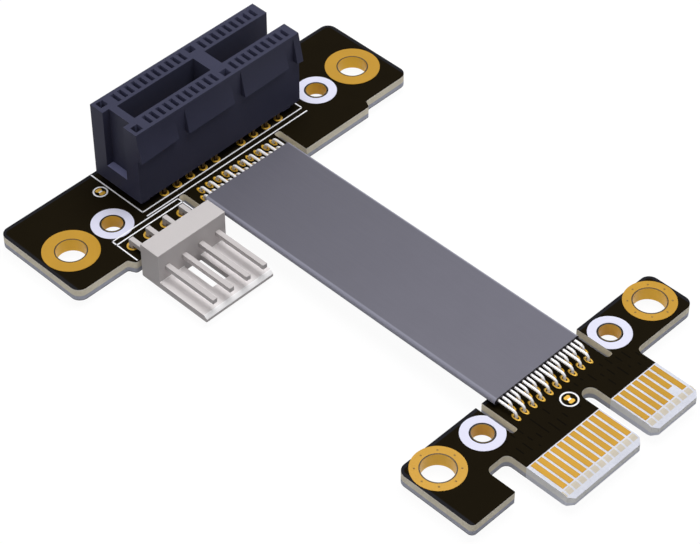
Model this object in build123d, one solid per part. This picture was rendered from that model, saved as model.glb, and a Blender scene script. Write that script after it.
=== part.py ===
from build123d import *
import os

# One-lane expansion slot extension: a slot board and a plug board joined by a flat cable.
# X runs along the boards, the cable runs towards -Y and Z = 0 is the top face of both boards.
# The origin is midway between the two large holes of the slot board.

# Driving dimensions, all in millimetres
board_thickness = 1.6
corner_radius = 1.2
small_fillet = 0.35
foil = 0.04
ink = 0.03
overcut = 1.0
lead_clearance = 0.05
round_sides = 8
wire_sides = 6

# Card edge shared by the plug and the slot
contact_pitch = 1.0
contacts_before_key = 11
contacts_after_key = 7
key_x = 1.9
key_gap = 3.0
key_width = 1.9
edge_before_key = 11.35
edge_after_key = 7.3
card_clearance = 0.15

# Slot board
slot_length = 52.0
slot_rear_y = 7.9
slot_arm_front_y = -5.6
slot_front_y = -6.55
slot_step_x = 18.6
step_run = 0.5
slot_hole_from_end = 3.8
slot_hole_radius = 1.75
slot_ring_radius = 3.3
guide_hole_radius = 1.22
guide_ring_radius = 2.46
guide_ring_bore = 1.45
plating = 0.1
slot_guide_from_hole = 6.1

# Narrow notches that let the cable flex beside its own tab
notch_width = 0.9
notch_inner_x = 7.1
notch_end_radius = 0.3
slot_notch_depth = 4.5

# Plug board
plug_y = -50.65
plug_length = 40.0
plug_rear = 2.88
plug_shoulder = -3.6
plug_arm_front = -7.7
plug_arm_inner_x = -13.6
plug_tip = -12.4
plug_hole_from_end = 3.2
plug_hole_radius = 1.88
plug_ring_radius = 3.03
plug_guide_from_notch = 2.1
plug_notch_depth = 5.13
shoulder_fillet = 0.8
arm_corner_radius = 0.6
arm_inner_corner_radius = 0.15
tip_chamfer = 0.6
bevel_length = 1.1
bevel_depth = 0.3
key_end = -3.42

# Contact fingers on the plug
finger_width = 0.7
finger_start = -6.45
finger_end = -10.82
short_finger_end = -9.7
short_finger_from_end = 2

# Slot housing
housing_width = 7.6
housing_y = 3.0
housing_left_wall = 1.925
housing_right_reach = 10.7
housing_top = 11.25
housing_lift = 1.1
slot_opening = 2.9
slot_floor = 3.2
end_notch_depth = 0.95
end_notch_width = 3.4
end_notch_floor = 3.4
window_length = 1.45
window_width = 0.5
window_offset = 2.6
spare_windows = 2
window_floor = 2.6
window_bridge_depth = 3.9
pocket_size = 1.0
pocket_depth = 2.0
pocket_offset = 2.9
foot_size = 1.2
foot_inset = 0.8
wedge_slope = 0.2
wedge_bottom = 7.5

# Each wedge: start and end from the left end, and how far its top drops at each
wedges_along_wall = [
    (0.0, 5.8, 0.0, 1.34),
    (7.2, 14.3, 0.43, 0.96),
    (15.8, 22.85, 0.21, 1.0),
    (24.1, 25.0, 0.3, 0.05),
]

# Contacts of the slot
terminal_width = 0.4
terminal_thickness = 0.26
terminal_clearance = 0.08
contact_shoulder_z = 1.75
blade_offset = 2.45
bow_start_z = 4.2
bow_reach = 0.85
bow_z = 6.1
bow_tip = 2.3
bow_tip_z = 7.1
inner_row = 1.4
outer_row = 3.4
tail_below_board = 1.0
terminal_pad_radius = 0.55

# Right-angle power header
header_pins = 4
header_pitch = 2.5
header_x = -13.1
header_length = 10.1
header_rear_y = -7.15
header_front_y = -10.02
header_top = 3.1
header_bottom = -1.7
header_pin = 0.6
header_pin_z = 0.77
header_pin_tip_y = -17.65
header_pad_y = -4.3
header_pad_radius = 0.72
tongue_top = -0.85
tongue_front_y = -17.58
tongue_chamfer = 0.42
tongue_window_width = 2.46
tongue_window_length = 4.6
tongue_window_x = -13.22

# Flat cable
cable_width = 13.35
cable_thickness = 0.95
cable_z = 0.7
cable_start_y = -5.15
cable_end_from_holes = 1.5
wire_count = 20
wire_pitch = 0.635
wire_diameter = 0.34
wire_pad_width = 0.56
wire_pad_length = 1.3
wire_bend = 0.3
slot_long_pad_y = -3.06
plug_pad_from_holes = -1.01
pad_row_gap = 1.27

# Solder joints under the plug board, which rests on them
solder_depth = 0.5
solder_tip_share = 0.75

# Solder jumpers
slot_jumper_from_housing = -1.18
slot_jumper_y = 4.87
slot_jumper_ring = 0.87
plug_jumper_x = -0.26
plug_jumper_from_holes = -3.27
plug_jumper_ring = 1.05
jumper_pad_radius = 0.58
jumper_gap = 0.14
jumper_stretch = 0.12

# Ink lines
ink_width = 0.15
ink_clearance = 0.1
header_ink_inset = 0.1
header_ink_front_margin = 0.25
ink_box_rear_y = 7.7
ink_box_front_y = -1.05
ink_line_y = -1.85
header_ink_rear_y = -2.2
header_ink_inner_y = -2.95

# Values worked out from the driving dimensions
slot_hole_x = slot_length / 2 - slot_hole_from_end
slot_guide_x = slot_hole_x - slot_guide_from_hole
plug_hole_x = plug_length / 2 - plug_hole_from_end
plug_guide_x = notch_inner_x + notch_width + plug_guide_from_notch
plug_key_left = key_x - key_width / 2
plug_key_right = key_x + key_width / 2
tongue_left = plug_key_left - edge_before_key
tongue_right = plug_key_right + edge_after_key
rib_width = key_width - card_clearance
opening_left = key_x - rib_width / 2 - edge_before_key - card_clearance
housing_left = opening_left - housing_left_wall
housing_right = key_x + housing_right_reach
slot_jumper_x = housing_left + slot_jumper_from_housing
plug_jumper_y = plug_y + plug_jumper_from_holes
first_contact_x = key_x - key_gap / 2 - (contacts_before_key - 1) * contact_pitch
contact_x = [first_contact_x + i * contact_pitch for i in range(contacts_before_key)]
after_key_x = [key_x + key_gap / 2 + i * contact_pitch for i in range(contacts_after_key)]
contact_x = contact_x + after_key_x
wire_x = [(i - (wire_count - 1) / 2) * wire_pitch for i in range(wire_count)]
slot_short_pad_y = slot_long_pad_y - pad_row_gap
plug_long_pad_y = plug_y + plug_pad_from_holes
plug_short_pad_y = plug_long_pad_y + pad_row_gap
cable_length = cable_start_y - plug_y - cable_end_from_holes
header_pin_x = [header_x + (i - (header_pins - 1) / 2) * header_pitch for i in range(header_pins)]
board_bottom = -board_thickness

# Sections of the leads and the holes that they pass
wire_section = RegularPolygon(wire_diameter / 2, wire_sides)
wire_hole = RegularPolygon(wire_diameter / 2 + lead_clearance, wire_sides)
terminal_hole = Rectangle(terminal_width + 2 * lead_clearance,
                          terminal_thickness + 2 * lead_clearance)
header_hole = Rectangle(header_pin + 2 * lead_clearance, header_pin + 2 * lead_clearance)


def block(x0, x1, y0, y1, z0, z1):
    """A box between two corners."""
    centre = Pos((x0 + x1) / 2, (y0 + y1) / 2, (z0 + z1) / 2)
    return centre * Box(abs(x1 - x0), abs(y1 - y0), abs(z1 - z0))


def slab(sketch, z0, z1):
    """A flat sketch given a thickness between two heights."""
    return Pos(0, 0, z0) * extrude(sketch, amount=z1 - z0, dir=(0, 0, 1))


def near(shape, points):
    """The corners of a sketch that lie at the given places."""
    corners = shape.vertices()
    return [min(corners, key=lambda v: (v.X - x) ** 2 + (v.Y - y) ** 2) for x, y in points]


def copies(centres, shape):
    """The same shape at several places."""
    return [Pos(x, y) * shape for x, y in centres]


def mirrored(x, y):
    """Two places, one on each side of the middle."""
    return [(-x, y), (x, y)]


def strip(points, thickness):
    """A sketch that follows a bent line with an even thickness, corners mitred."""
    left = []
    right = []
    for i, point in enumerate(points):
        here = Vector(*point)
        back = (here - Vector(*points[i - 1])).normalized() if i else None
        ahead = (Vector(*points[i + 1]) - here).normalized() if i + 1 < len(points) else None
        back = back or ahead
        ahead = ahead or back
        normal = Vector(-back.Y - ahead.Y, back.X + ahead.X).normalized()
        reach = thickness / 2 / normal.dot(Vector(-back.Y, back.X))
        left.append((here.X + normal.X * reach, here.Y + normal.Y * reach))
        right.append((here.X - normal.X * reach, here.Y - normal.Y * reach))
    return Polygon(*(left + right[::-1]), align=None)


def side_profile(profile, x, width, facing=1, y=0.0):
    """A sketch drawn as (distance from y, height) and given a width along X."""
    plane = Plane(origin=(x, y, 0), x_dir=(0, facing, 0), z_dir=(facing, 0, 0))
    return extrude(plane * profile, amount=width / 2, both=True)


def slot_board():
    """The slot board with its stepped front, notches and holes."""
    half = slot_length / 2
    step_out = slot_step_x + step_run / 2
    step_in = slot_step_x - step_run / 2
    outline = Polygon(
        (-half, slot_rear_y), (half, slot_rear_y),
        (half, slot_arm_front_y), (step_out, slot_arm_front_y),
        (step_in, slot_front_y), (-step_in, slot_front_y),
        (-step_out, slot_arm_front_y), (-half, slot_arm_front_y), align=None)
    ends = [(s * half, y) for s in (-1, 1) for y in (slot_rear_y, slot_arm_front_y)]
    steps = [(s * step_out, slot_arm_front_y) for s in (-1, 1)]
    steps += [(s * step_in, slot_front_y) for s in (-1, 1)]
    outline = fillet(near(outline, ends), corner_radius)
    outline = fillet(near(outline, steps), small_fillet)
    outline -= notches(slot_front_y, slot_front_y + slot_notch_depth)
    outline -= copies(mirrored(slot_hole_x, 0), Circle(slot_hole_radius + plating))
    outline -= copies(mirrored(slot_guide_x, 0), Circle(guide_hole_radius + plating))
    outline -= copies(terminal_places(), terminal_hole)
    outline -= copies(header_places(), header_hole)
    outline -= copies(wire_places(slot_short_pad_y, slot_long_pad_y), wire_hole)
    return slab(outline, board_bottom, 0)


def notches(edge_y, end_y):
    """The two narrow notches that run in from a board's edge to a rounded end."""
    mouth_y = edge_y + (overcut if edge_y > end_y else -overcut)
    cuts = []
    for side in (-1, 1):
        x = side * (notch_inner_x + notch_width / 2)
        notch = Pos(x, (mouth_y + end_y) / 2) * Rectangle(notch_width, abs(mouth_y - end_y))
        ends = [(x + s * notch_width / 2, end_y) for s in (-1, 1)]
        cuts.append(fillet(near(notch, ends), notch_end_radius))
    return cuts


def terminal_places():
    """Where the tails of the slot contacts pass the board, in four staggered rows."""
    places = []
    for i, x in enumerate(contact_x):
        row = inner_row if i % 2 == 0 else outer_row
        places += [(x, housing_y - row), (x, housing_y + row)]
    return places


def header_places():
    """Where the header's pins pass the board."""
    return [(x, header_pad_y) for x in header_pin_x]


def wire_places(even_y, odd_y):
    """Where the cable wires pass a board, in two staggered rows."""
    return [(x, even_y if i % 2 == 0 else odd_y) for i, x in enumerate(wire_x)]


def plug_board():
    """The plug board with its two arms, card edge, key notch and bevelled tip."""
    half = plug_length / 2
    rear_y = plug_y + plug_rear
    shoulder_y = plug_y + plug_shoulder
    arm_y = plug_y + plug_arm_front
    tip_y = plug_y + plug_tip
    outline = Polygon(
        (-half, rear_y), (half, rear_y), (half, shoulder_y), (tongue_right, shoulder_y),
        (tongue_right, tip_y), (tongue_left, tip_y), (tongue_left, shoulder_y),
        (plug_arm_inner_x, shoulder_y), (plug_arm_inner_x, arm_y), (-half, arm_y), align=None)
    key_centre_y = plug_y + key_end - key_width / 2
    key = Pos(key_x, (key_centre_y + tip_y) / 2) * Rectangle(key_width, key_centre_y - tip_y)
    outline = outline - key - Pos(key_x, key_centre_y) * Circle(key_width / 2)
    rounds = [(-half, rear_y), (half, rear_y), (half, shoulder_y)]
    outline = fillet(near(outline, rounds), corner_radius)
    outline = fillet(near(outline, [(-half, arm_y)]), arm_corner_radius)
    outline = fillet(near(outline, [(plug_arm_inner_x, arm_y)]), arm_inner_corner_radius)
    inner = [(tongue_left, shoulder_y), (tongue_right, shoulder_y)]
    inner.append((plug_arm_inner_x, shoulder_y))
    outline = fillet(near(outline, inner), shoulder_fillet)
    tips = [(x, tip_y) for x in (tongue_left, plug_key_left, plug_key_right, tongue_right)]
    outline = chamfer(near(outline, tips), tip_chamfer)
    outline -= notches(rear_y, rear_y - plug_notch_depth)
    outline -= copies(mirrored(plug_hole_x, plug_y), Circle(plug_hole_radius + plating))
    outline -= copies(mirrored(plug_guide_x, plug_y), Circle(guide_hole_radius + plating))
    outline -= copies(wire_places(plug_long_pad_y, plug_short_pad_y), wire_hole)
    board = slab(outline, board_bottom, 0)
    for face_z, side in ((0, -1), (board_bottom, 1)):
        inner_z = face_z + side * bevel_depth
        wedge = Polygon(
            (tip_y - overcut, face_z), (tip_y + bevel_length, face_z),
            (tip_y, inner_z), (tip_y - overcut, inner_z), align=None)
        board -= side_profile(wedge, 0, plug_length)
    return board


def plated_holes(centres, bore, flange):
    """Metal-lined holes with a flat ring on both faces of the board."""
    ring = Circle(flange) - Circle(bore)
    wall = Circle(bore + plating) - Circle(bore)
    tube = slab(wall, board_bottom, 0) + slab(ring, 0, foil)
    tube += slab(ring, board_bottom - foil, board_bottom)
    return copies(centres, tube)


def plain_tubes(centres, bore):
    """Metal-lined holes with no ring, a foil's height proud of both faces."""
    wall = Circle(bore + plating) - Circle(bore)
    return copies(centres, slab(wall, board_bottom - foil, foil))


def ring_pads(centres, pad, hole):
    """Flat pads with a hole, on the top face."""
    return copies(centres, slab(pad - hole, 0, foil))


def slot_housing():
    """The moulded slot: card opening, key rib, contact windows, wedges and feet."""
    x0 = housing_left
    x1 = housing_right
    y0 = housing_y - housing_width / 2
    y1 = housing_y + housing_width / 2
    body = block(x0, x1, y0, y1, housing_lift, housing_top)
    body += copies(foot_places(), slab(Rectangle(foot_size, foot_size), 0, housing_lift))
    body += housing_wedges(x0, -1, wedges_along_wall)
    body += housing_wedges(x0, 1, wedges_along_wall[1:3])
    rib_left = key_x - rib_width / 2
    rib_right = key_x + rib_width / 2
    half = slot_opening / 2
    cuts = []
    for left, right in ((opening_left, rib_left), (rib_right, x1 + overcut)):
        cuts.append(block(left, right, housing_y - half, housing_y + half, slot_floor, housing_top))
    cuts.append(block(x0, x0 + end_notch_depth, housing_y - end_notch_width / 2,
                      housing_y + end_notch_width / 2, end_notch_floor, housing_top))
    for side in (-1, 1):
        for x in (x0 + end_notch_depth, key_x):
            hole = Pos(x, housing_y + side * pocket_offset, housing_top - pocket_depth / 2)
            cuts.append(hole * Box(pocket_size, pocket_size, pocket_depth))
        cuts += contact_windows(side)
    return body - cuts


def contact_windows(side):
    """The slots for one side's contacts, open to the card opening and to the tails."""
    cuts = []
    spare_x = [contact_x[-1] + (i + 1) * contact_pitch for i in range(spare_windows)]
    for i, x in enumerate(contact_x + spare_x):
        y = housing_y + side * window_offset
        half_w = window_width / 2
        outer = y + side * window_length / 2
        inner = y - side * window_length / 2
        throat = housing_y + side * slot_opening / 2
        if i >= len(contact_x):
            low = housing_top - pocket_depth
            cuts.append(block(x - half_w, x + half_w, inner, outer, low, housing_top))
            continue
        cuts.append(block(x - half_w, x + half_w, inner, outer, window_floor, housing_top))
        bridge = housing_top - window_bridge_depth
        cuts.append(block(x - half_w, x + half_w, throat, inner, slot_floor, bridge))
        room = terminal_thickness / 2 + terminal_clearance
        row = inner_row if i % 2 == 0 else outer_row
        near_y = housing_y + side * (min(row, blade_offset) - room)
        far_y = housing_y + side * (max(row, blade_offset) + room)
        cuts.append(block(x - half_w, x + half_w, near_y, far_y, 0, window_floor))
    return cuts


def foot_places():
    """Where the stand-off feet are that hold the body clear of the solder pads."""
    inset = foot_inset + foot_size / 2
    foot_x = (housing_left + inset, housing_right - inset)
    foot_y = (housing_y - housing_width / 2 + inset, housing_y + housing_width / 2 - inset)
    return [(x, y) for x in foot_x for y in foot_y]


def housing_wedges(x0, side, spans):
    """Shallow flared panels along a long wall, higher at their left ends."""
    wall = housing_y + side * housing_width / 2
    wedges = []
    for start, end, drop_start, drop_end in spans:
        ends = []
        for x, drop in ((x0 + start, drop_start), (x0 + end, drop_end)):
            top = housing_top - drop
            flare = wall + side * wedge_slope * (top - wedge_bottom)
            corners = [(x, wall, top), (x, wall, wedge_bottom), (x, flare, wedge_bottom)]
            ends.append(Wire.make_polygon([Vector(*c) for c in corners], close=True))
        wedges.append(Solid.make_loft(ends, ruled=True))
    return wedges


def slot_contact(x, side, row):
    """One sprung contact: tail, shoulder, blade and the bow that grips the card."""
    tail = [(row, board_bottom - tail_below_board), (row, contact_shoulder_z)]
    blade = [(blade_offset, contact_shoulder_z), (blade_offset, bow_start_z)]
    bow = [(bow_reach, bow_z), (bow_tip, bow_tip_z)]
    profile = strip(tail + blade + bow, terminal_thickness)
    return side_profile(profile, x, terminal_width, side, housing_y)


def slot_contacts(side):
    """All contacts on one side of the card opening."""
    rows = (inner_row, outer_row)
    return [slot_contact(x, side, rows[i % 2]) for i, x in enumerate(contact_x)]


def header_housing():
    """The header block with its flat tongue and the window through it."""
    x0 = header_x - header_length / 2
    x1 = header_x + header_length / 2
    body = block(x0, x1, header_front_y, header_rear_y, header_bottom, header_top)
    tongue = Polygon(
        (header_front_y, header_bottom), (header_front_y, tongue_top),
        (tongue_front_y + tongue_chamfer, tongue_top),
        (tongue_front_y, tongue_top - tongue_chamfer), (tongue_front_y, header_bottom),
        align=None)
    body += side_profile(tongue, header_x, header_length)
    window_half = tongue_window_width / 2
    body -= block(tongue_window_x - window_half, tongue_window_x + window_half,
                  header_front_y - tongue_window_length, header_front_y,
                  header_bottom, tongue_top)
    pin_half = header_pin / 2
    for x in header_pin_x:
        body -= block(x - pin_half, x + pin_half, header_front_y, header_rear_y,
                      header_pin_z - pin_half, header_pin_z + pin_half)
    return body


def header_pin_set():
    """Four square pins, bent down into the board behind the block."""
    path = [(header_pin_tip_y, header_pin_z), (header_pad_y, header_pin_z),
            (header_pad_y, board_bottom - tail_below_board)]
    profile = strip(path, header_pin)
    return [side_profile(profile, x, header_pin) for x in header_pin_x]


def cable_jacket():
    """The flat jacket with its full-round edges and one bore per wire."""
    section = SlotOverall(cable_width, cable_thickness)
    section -= copies([(x, 0) for x in wire_x], wire_section)
    plane = Plane(origin=(0, cable_start_y, cable_z), x_dir=(1, 0, 0), z_dir=(0, -1, 0))
    return extrude(plane * section, amount=cable_length)


def cable_wire(x, slot_pad_y, plug_pad_y):
    """One wire from its slot-board pad, through the jacket, to its plug-board pad."""
    low = board_bottom - solder_depth
    turn = cable_z - wire_bend
    path = Polyline(
        (x, slot_pad_y, low), (x, slot_pad_y, turn), (x, slot_pad_y - wire_bend, cable_z),
        (x, plug_pad_y + wire_bend, cable_z), (x, plug_pad_y, turn), (x, plug_pad_y, low))
    section = Plane(origin=(x, slot_pad_y, low), x_dir=(1, 0, 0), z_dir=(0, 0, 1)) * wire_section
    return sweep(section, path=path, transition=Transition.RIGHT)


def cable_wires():
    """All wires; each is short at one end and long at the other."""
    wires = []
    for i, x in enumerate(wire_x):
        if i % 2 == 0:
            wires.append(cable_wire(x, slot_short_pad_y, plug_long_pad_y))
        else:
            wires.append(cable_wire(x, slot_long_pad_y, plug_short_pad_y))
    return wires


def solder_joints(centres):
    """Tapered joints under the plug board, each round its own wire."""
    wide = wire_pad_width / 2
    levels = ((board_bottom, wide), (board_bottom - solder_depth, wide * solder_tip_share))
    ends = [Pos(0, 0, z) * RegularPolygon(radius, wire_sides) for z, radius in levels]
    joint = loft(ends, ruled=True) - slab(wire_section, board_bottom - solder_depth, board_bottom)
    return copies(centres, joint)


def jumper_pads(x, y):
    """Two half-round pads with a narrow gap between them."""
    halves = []
    for side in (-1, 1):
        size = 2 * jumper_pad_radius
        other_half = Pos(0, side * (jumper_gap - size) / 2) * Rectangle(size, size)
        pad = Pos(x, y + side * jumper_stretch) * (Circle(jumper_pad_radius) - other_half)
        halves.append(slab(pad, 0, foil))
    return halves


def ink_line(x0, x1, y0, y1):
    """A printed line, level or upright."""
    width = abs(x1 - x0) + ink_width
    height = abs(y1 - y0) + ink_width
    return Pos((x0 + x1) / 2, (y0 + y1) / 2) * Rectangle(width, height)


def ink_ring(x, y, outer, inner):
    """A printed ring."""
    return Pos(x, y) * (Circle(outer) - Circle(inner))


def slot_ink():
    """Printed outlines on the slot board, kept off the large rings and the housing's feet."""
    left = housing_left - ink_width / 2
    right = housing_right + ink_width / 2
    header_left = header_x - header_length / 2 + header_ink_inset
    header_right = header_x + header_length / 2 - header_ink_inset
    art = ink_ring(slot_jumper_x, slot_jumper_y, slot_jumper_ring, slot_jumper_ring - ink_width)
    for x, y in mirrored(slot_guide_x, 0):
        art += ink_ring(x, y, guide_ring_radius, guide_ring_bore)
    art += ink_line(left, right, ink_box_front_y, ink_box_front_y)
    art += ink_line(left, left, ink_box_front_y, ink_box_rear_y)
    art += ink_line(right, right, ink_box_front_y, ink_box_rear_y)
    art += ink_line(left, right, ink_line_y, ink_line_y)
    art += ink_line(header_left, header_right, header_ink_rear_y, header_ink_rear_y)
    art += ink_line(header_left, header_right, header_ink_inner_y, header_ink_inner_y)
    for x in (header_left, header_right):
        art += ink_line(x, x, header_ink_rear_y, slot_front_y + header_ink_front_margin)
    art -= copies(mirrored(slot_hole_x, 0), Circle(slot_ring_radius + ink_clearance))
    room = foot_size + 2 * ink_clearance
    art -= copies(foot_places(), Rectangle(room, room))
    return slab(art, 0, ink)


def plug_ink():
    """Printed rings on the plug board, kept off the notches and the large rings."""
    art = ink_ring(plug_jumper_x, plug_jumper_y, plug_jumper_ring, plug_jumper_ring - ink_width)
    trim = Pos(0, plug_y) * Rectangle(2 * (notch_inner_x + notch_width), plug_length)
    for x, y in mirrored(plug_guide_x, plug_y):
        art += ink_ring(x, y, guide_ring_radius, guide_ring_bore) - trim
    art -= copies(mirrored(plug_hole_x, plug_y), Circle(plug_ring_radius + ink_clearance))
    return slab(art, 0, ink)


def fingers(face_z, height, short_index):
    """The plated contact fingers on one face of the card edge."""
    pads = []
    for i, x in enumerate(contact_x):
        end = short_finger_end if i == short_index else finger_end
        y0 = plug_y + end
        y1 = plug_y + finger_start
        pads.append(block(x - finger_width / 2, x + finger_width / 2, y0, y1,
                          face_z, face_z + height))
    return pads


def save(name, shapes):
    """Write one named piece or group of equal pieces."""
    if isinstance(shapes, list):
        solids = [solid for shape in shapes for solid in shape.solids()]
        shape = solids[0] if len(solids) == 1 else Compound(solids)
    else:
        shape = shapes
    shape.label = name
    export_step(shape, os.path.join("parts", name + ".step"))


def save_boards():
    """The two boards with their plating, fingers and printing."""
    slot_mounts = mirrored(slot_hole_x, 0)
    plug_mounts = mirrored(plug_hole_x, plug_y)
    save("slot_board", slot_board())
    save("plug_board", plug_board())
    save("slot_mount_plating", plated_holes(slot_mounts, slot_hole_radius, slot_ring_radius))
    save("plug_mount_plating", plated_holes(plug_mounts, plug_hole_radius, plug_ring_radius))
    save("slot_guide_plating", plain_tubes(mirrored(slot_guide_x, 0), guide_hole_radius))
    save("plug_guide_plating", plain_tubes(mirrored(plug_guide_x, plug_y), guide_hole_radius))
    save("slot_jumper_pads", jumper_pads(slot_jumper_x, slot_jumper_y))
    save("plug_jumper_pads", jumper_pads(plug_jumper_x, plug_jumper_y))
    save("slot_printing", slot_ink())
    save("plug_printing", plug_ink())
    save("plug_fingers_top", fingers(0, foil, len(contact_x) - short_finger_from_end))
    save("plug_fingers_bottom", fingers(board_bottom - foil, foil, 0))


def save_fitted_pieces():
    """What is fitted to the boards: slot, header and cable, with their pads."""
    save("slot_housing", slot_housing())
    save("slot_contacts_front", slot_contacts(-1))
    save("slot_contacts_rear", slot_contacts(1))
    save("header_housing", header_housing())
    save("header_pins", header_pin_set())
    save("cable_jacket", cable_jacket())
    save("cable_wires", cable_wires())
    terminal_pad = RegularPolygon(terminal_pad_radius, round_sides)
    save("slot_terminal_pads", ring_pads(terminal_places(), terminal_pad, terminal_hole))
    header_pad = RegularPolygon(header_pad_radius, round_sides)
    save("header_pads", ring_pads(header_places(), header_pad, header_hole))
    wire_pad = Rectangle(wire_pad_width, wire_pad_length)
    slot_wires = wire_places(slot_short_pad_y, slot_long_pad_y)
    plug_wires = wire_places(plug_long_pad_y, plug_short_pad_y)
    save("slot_cable_pads", ring_pads(slot_wires, wire_pad, wire_hole))
    save("plug_cable_pads", ring_pads(plug_wires, wire_pad, wire_hole))
    save("plug_cable_joints", solder_joints(plug_wires))


os.makedirs("parts", exist_ok=True)
save_boards()
save_fitted_pieces()
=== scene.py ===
import math

import bmesh
import bpy
from bpy.props import FloatProperty, FloatVectorProperty, IntProperty, PointerProperty
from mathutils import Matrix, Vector


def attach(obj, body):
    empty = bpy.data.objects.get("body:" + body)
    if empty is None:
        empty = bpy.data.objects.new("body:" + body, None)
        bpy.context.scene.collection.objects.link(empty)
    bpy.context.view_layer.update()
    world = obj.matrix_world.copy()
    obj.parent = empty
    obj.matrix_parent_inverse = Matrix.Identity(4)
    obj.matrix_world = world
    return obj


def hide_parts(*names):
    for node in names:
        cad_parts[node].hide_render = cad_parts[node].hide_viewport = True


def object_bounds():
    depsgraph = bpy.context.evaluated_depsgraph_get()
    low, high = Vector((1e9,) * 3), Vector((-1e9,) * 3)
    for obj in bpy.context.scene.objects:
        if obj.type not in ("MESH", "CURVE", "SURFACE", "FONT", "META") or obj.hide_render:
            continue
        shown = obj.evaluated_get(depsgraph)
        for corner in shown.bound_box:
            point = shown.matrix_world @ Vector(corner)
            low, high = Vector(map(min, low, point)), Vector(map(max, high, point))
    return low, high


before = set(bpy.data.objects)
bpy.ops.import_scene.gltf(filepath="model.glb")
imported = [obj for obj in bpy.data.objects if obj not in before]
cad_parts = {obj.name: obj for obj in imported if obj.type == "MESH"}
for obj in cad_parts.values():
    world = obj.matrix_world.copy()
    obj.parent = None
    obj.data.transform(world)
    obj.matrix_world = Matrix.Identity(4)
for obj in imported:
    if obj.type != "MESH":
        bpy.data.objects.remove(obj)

bl_info = {
    "name": "Card slot extension cable",
    "version": (1, 0, 0),
    "blender": (4, 5, 0),
    "location": "View3D > Sidebar > Extension",
    "description": "Dresses the flat card slot extension with its finishes and fine pieces",
    "category": "Object",
}

MM = 0.001
CAD_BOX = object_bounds()
ROOT = "root"
FINISHES = {}

# Places and sizes of the CAD pieces, in mm
BETWEEN_BOARDS_Y = -20.0
BOARD_BOTTOM = -1.6
SLOT_HALF_LENGTH = 26.0
SLOT_REAR_Y = 7.9
SLOT_HOLE_X = 22.2
SLOT_BORE = 1.75
SLOT_Y = 3.0
SLOT_LEFT_X = -11.3
SLOT_OPEN_END_X = 12.5
SLOT_LEDGE_Z = (3.2, 3.6)
PLUG_HALF_LENGTH = 20.0
PLUG_REAR_Y = -47.77
PLUG_Y = -50.65
PLUG_HOLE_X = 16.8
PLUG_BORE = 1.88
TONGUE_LEFT_X = -12.0
TONGUE_BARE_Y = -56.95
FIRST_CONTACT_X = -9.6
CONTACT_ROWS = (1.4, 3.4)
CONTACT_X = [FIRST_CONTACT_X + i for i in range(11)] + [3.4 + i for i in range(7)]
HEADER_PIN_X = (-16.85, -14.35, -11.85, -9.35)
HEADER_PAD_Y = -4.3
HEADER_TONGUE_Z = -0.75
PAD_ROW_GAP = 1.27
SLOT_LONG_Y = -3.06
PLUG_LONG_Y = -51.66
CABLE_Z = 0.7
CABLE_NEAR_Y = -5.15
CABLE_FAR_Y = -49.15
WIRE_LOW_Z = -2.1

# The Y at which the even and the odd wires pass each board, in mm
WIRE_ROWS = {"slot": (SLOT_LONG_Y - PAD_ROW_GAP, SLOT_LONG_Y),
             "plug": (PLUG_LONG_Y, PLUG_LONG_Y + PAD_ROW_GAP)}

# Ring pads: outer radius above and below the board, and bore, in mm. Oval pads in metres
TERMINAL_RING = (0.55, 0.62, 0.29)
HEADER_RING = (0.72, 0.85, 0.46)
WIRE_OVAL = {"Outer": 0.33 * MM, "Hole": 0.18 * MM, "Stretch": 1.9}
FOIL = 0.04

# Eight vias on each large ring of the plug board: their circle in mm, their sizes in metres
VIA_CIRCLE = 2.46
VIA = {"Outer": 0.11 * MM, "Hole": 0.04 * MM, "Thickness": 0.01 * MM, "Stretch": 1.0}

# Solder jumpers: place and radius of the printed circle, then the sizes they share, in mm
JUMPERS = {"slot": (-13.58, 4.87, 0.87), "plug": (-0.26, -53.92, 1.05)}
LOBE = (0.8, 0.46, FOIL, 0.22)
LOBE_OFFSET = 0.34
STRIP = (0.46, 0.24, 0.05, 0.03)
CIRCLE_Z = 0.034
CIRCLE_OUT = 0.02
CIRCLE_IN = 0.18

# Printed lines: both ends' x, then both ends' y, in mm
LINE_WIDTH = 0.155
LINE_HEIGHT = 0.035
LINE_CORNER = 0.02
LINES = ((-12.475, 12.675, -1.05, -1.05), (-12.475, -12.475, -1.05, 7.7),
         (12.675, 12.675, -1.05, 7.7), (-12.475, 12.675, -1.85, -1.85),
         (-18.05, -8.15, -2.2, -2.2), (-18.05, -8.15, -2.95, -2.95),
         (-18.05, -18.05, -6.3, -2.2), (-8.15, -8.15, -6.3, -2.2))

# Bounds of what the board finish shows in its masks, in mm, from start to end
RIM = (0.46, 0.40)
RIM_CORNER_SHARE = 0.36
TRACK_X = (-10.2, 9.9)
TRACK_Y = (PLUG_LONG_Y - 4.4, PLUG_LONG_Y - 1.1)
GHOST_Y = (PLUG_Y - 11.75, PLUG_Y - 11.0)
GREY_LAYER = (0.88, 1.02)
# The top band is a painted highlight along the top of the cut edges
TOP_EDGE_HIGHLIGHT = (0.14, 0.07)
BOTTOM_LAYER = (1.48, 1.56)

# Screen colours that more than one mask uses
MASK_BLACK = (25, 20, 10)
# Bore gold is painted light: brighter than the ring gold to offset the shade inside the bores
BORE_GOLD_PAINTED_LIGHT = (244, 194, 34)

# Stage
FLOOR_HALF = 1.2
FLOOR_GLOW = 1.12
FLOOR_GLOW_SHARE = 0.85
WORLD_LIGHT = 0.23
LAMPS = (("above", (0.035, -0.025, 0.24), 0.56, 0.20),
         ("left", (-0.36, 0.02, 0.20), 0.12, 0.30))
LAMP_TARGET = (-0.003, -0.0245, 0.0)
CAMERA_AZIMUTH = -45.419
CAMERA_ELEVATION = 44.773
CAMERA_TARGET = (-0.00288, -0.02434, 0.0)
CAMERA_DISTANCE = 0.273292
CAMERA_LENS = 128.0


# Node helpers

def add_node(tree, kind, **settings):
    """Adds a node and sets the named attributes of it."""
    node = tree.nodes.new(kind)
    for key, value in settings.items():
        setattr(node, key, value)
    return node


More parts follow.
